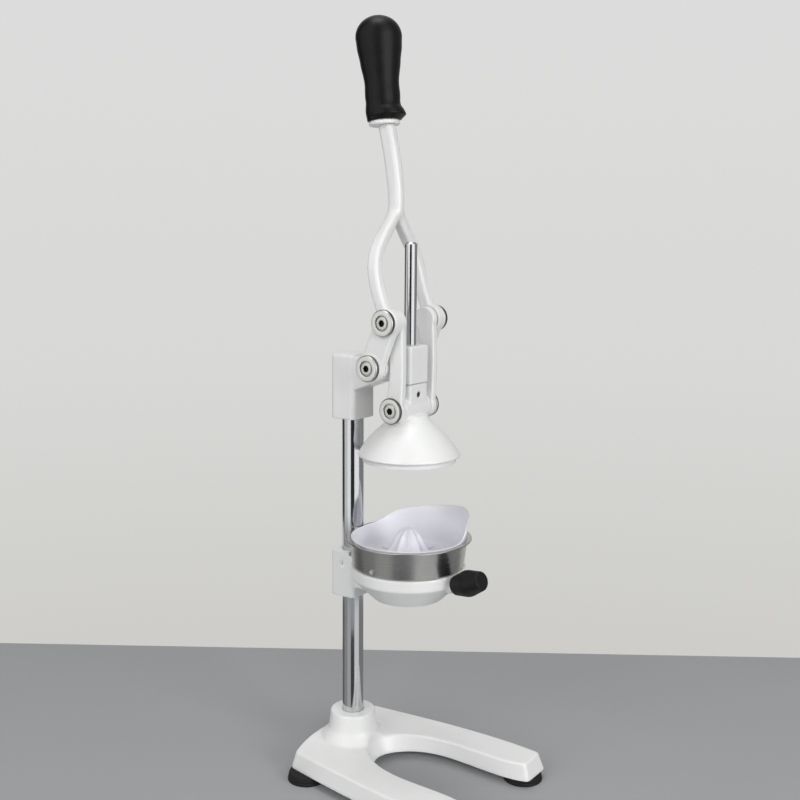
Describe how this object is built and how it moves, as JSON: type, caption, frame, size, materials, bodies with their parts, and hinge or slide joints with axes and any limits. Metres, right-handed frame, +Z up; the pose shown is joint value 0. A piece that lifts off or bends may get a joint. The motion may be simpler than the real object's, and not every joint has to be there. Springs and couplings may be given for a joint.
{
  "type": "manual lemon squeezer",
  "caption": "Free-standing lever press for lemons and oranges: a bell-shaped press cup runs down a guide rod into a strainer over a funnel ring.",
  "frame": {"origin": "middle of the footprint on the floor, on the plane of the four feet's undersides", "axes": "+Z up along the column, -Y to the front where the base is open, +X to the user's right seen from the front"},
  "size_m": [0.174, 0.227, 0.7493],
  "materials": {
    "cast_white": "semi-gloss white enamel",
    "column_chrome": "polished",
    "rod_chrome": "polished",
    "pivot_steel": "turned, bright",
    "cap_steel": "satin, turned",
    "screw_dark": "dark",
    "grip_black": "satin",
    "collar_white": "satin",
    "liner_white": "semi-gloss",
    "insert_white": "milky, semi-gloss",
    "cup_steel": "brushed, bright",
    "feet_rubber": "matt"
  },
  "bodies": {
    "stand": {"base_frame": "cast_white", "rubber_feet": "feet_rubber", "column_tube": "column_chrome", "head_casting": "cast_white", "middle_pivot_screws": "pivot_steel", "middle_pivot_caps": "cap_steel", "middle_pivot_spacers": "pivot_steel", "holder_casting": "cast_white", "holder_set_screw": "screw_dark", "knob_stem": "pivot_steel", "hand_knob": "grip_black"},
    "lever": {"lever_casting": "cast_white", "grip_collar": "collar_white", "grip": "grip_black"},
    "links": {"link_left": "cast_white", "link_right": "cast_white", "upper_pivot_screws": "pivot_steel", "upper_pivot_caps": "cap_steel", "upper_pivot_spacers": "pivot_steel", "lower_pivot_screws": "pivot_steel", "lower_pivot_caps": "cap_steel"},
    "press": {"press_cup": "cast_white", "press_liner": "liner_white", "guide_rod": "rod_chrome", "neck_set_screw": "screw_dark"},
    "cup": {"steel_cup": "cup_steel", "cup_rivet": "cup_steel"},
    "insert": {"strainer_insert": "insert_white"}
  },
  "joints": [
    {"name": "lever_hinge", "type": "hinge", "parent": "stand", "child": "lever", "pos_m": [0, 0.0225, 0.4224], "axis": [1, 0, 0], "range_deg": [0, 120]},
    {"name": "link_hinge", "type": "hinge", "parent": "lever", "child": "links", "pos_m": [0, 0.0045, 0.466], "axis": [1, 0, 0], "range_deg": [-112.7, 0]},
    {"name": "press_slide", "type": "slide", "parent": "stand", "child": "press", "axis": [0, 0, -1], "range_m": [0, 0.0804]},
    {"name": "cup_out", "type": "slide", "parent": "stand", "child": "cup", "axis": [0.6113, -0.6789, 0.4067], "range_m": [0, 0.145]},
    {"name": "insert_lift", "type": "slide", "parent": "cup", "child": "insert", "axis": [0, 0, 1], "range_m": [0, 0.017]}
  ],
  "couplings": [
    {"joint": "link_hinge", "follows": "lever_hinge", "ratio": -0.93867},
    {"joint": "press_slide", "follows": "lever_hinge", "m_per_rad": 0.03834}
  ]
}
